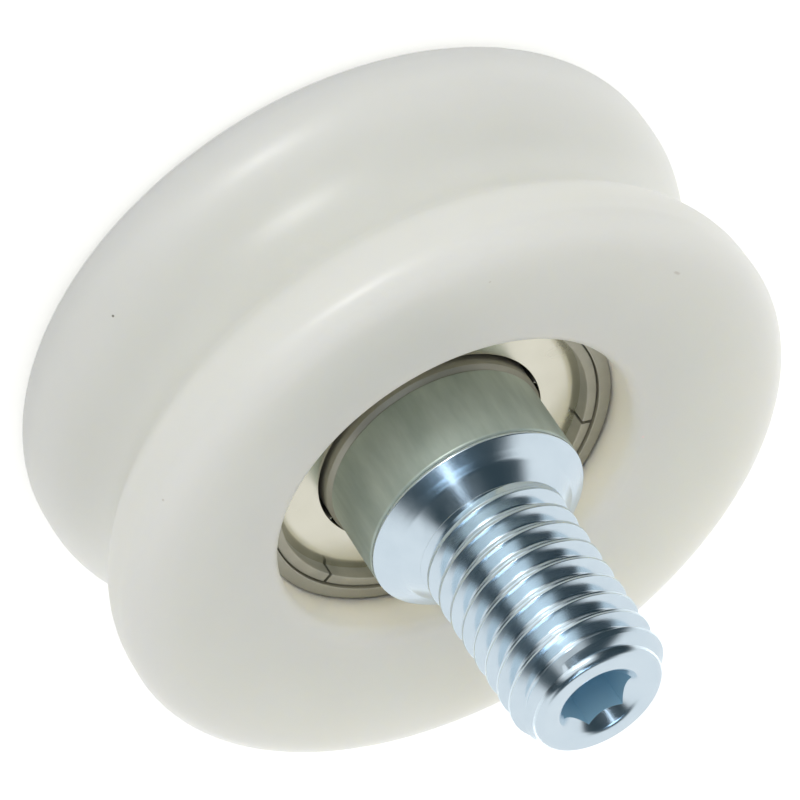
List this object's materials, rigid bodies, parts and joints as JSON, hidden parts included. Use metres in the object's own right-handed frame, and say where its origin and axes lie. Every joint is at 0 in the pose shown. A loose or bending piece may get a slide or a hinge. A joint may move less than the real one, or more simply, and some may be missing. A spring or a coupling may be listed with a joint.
{
  "type": "grooved roller with axle",
  "caption": "White nylon guide roller with a round running groove, turning on a shielded ball bearing around a plated axle stud with a thread and a hexagon socket.",
  "frame": {"origin": "on the axle's centre line, in the plane of the rear rim that the roller stands on", "axes": "+Z along the axle from the roller to the stud's threaded end; +X points to the side from which the picture is taken"},
  "size_m": [0.045, 0.045, 0.0344],
  "materials": {
    "nylon": "moulded natural nylon, satin, off-white and slightly translucent",
    "ring_steel": "ground bearing steel",
    "shield_steel": "bright pressed steel sheet",
    "ball_steel": "polished bearing steel",
    "cage_steel": "pressed steel sheet",
    "bare_steel": "bare turned steel, matte grey",
    "zinc_plate": "bright zinc plate with blue passivation"
  },
  "bodies": {
    "axle": {"axle_stud": "zinc_plate", "spacer_sleeve": "bare_steel", "bearing_inner_ring": "ring_steel"},
    "roller": {"grooved_roller": "nylon", "bearing_outer_ring": "ring_steel", "bearing_front_shield": "shield_steel", "bearing_rear_shield": "shield_steel"},
    "cage": {"cage_front_half": "cage_steel", "cage_rear_half": "cage_steel", "cage_rivets": "cage_steel", "bearing_ball_1": "ball_steel", "bearing_ball_2": "ball_steel", "bearing_ball_3": "ball_steel", "bearing_ball_4": "ball_steel", "bearing_ball_5": "ball_steel", "bearing_ball_6": "ball_steel", "bearing_ball_7": "ball_steel"}
  },
  "joints": [
    {"name": "roller_spin", "type": "hinge", "parent": "axle", "child": "roller", "pos_m": [0, 0, 0.0087], "axis": [0, 0, 1], "continuous": true},
    {"name": "cage_spin", "type": "hinge", "parent": "axle", "child": "cage", "pos_m": [0, 0, 0.0091], "axis": [0, 0, 1], "continuous": true}
  ],
  "couplings": [
    {"joint": "cage_spin", "follows": "roller_spin", "ratio": 0.63228}
  ]
}
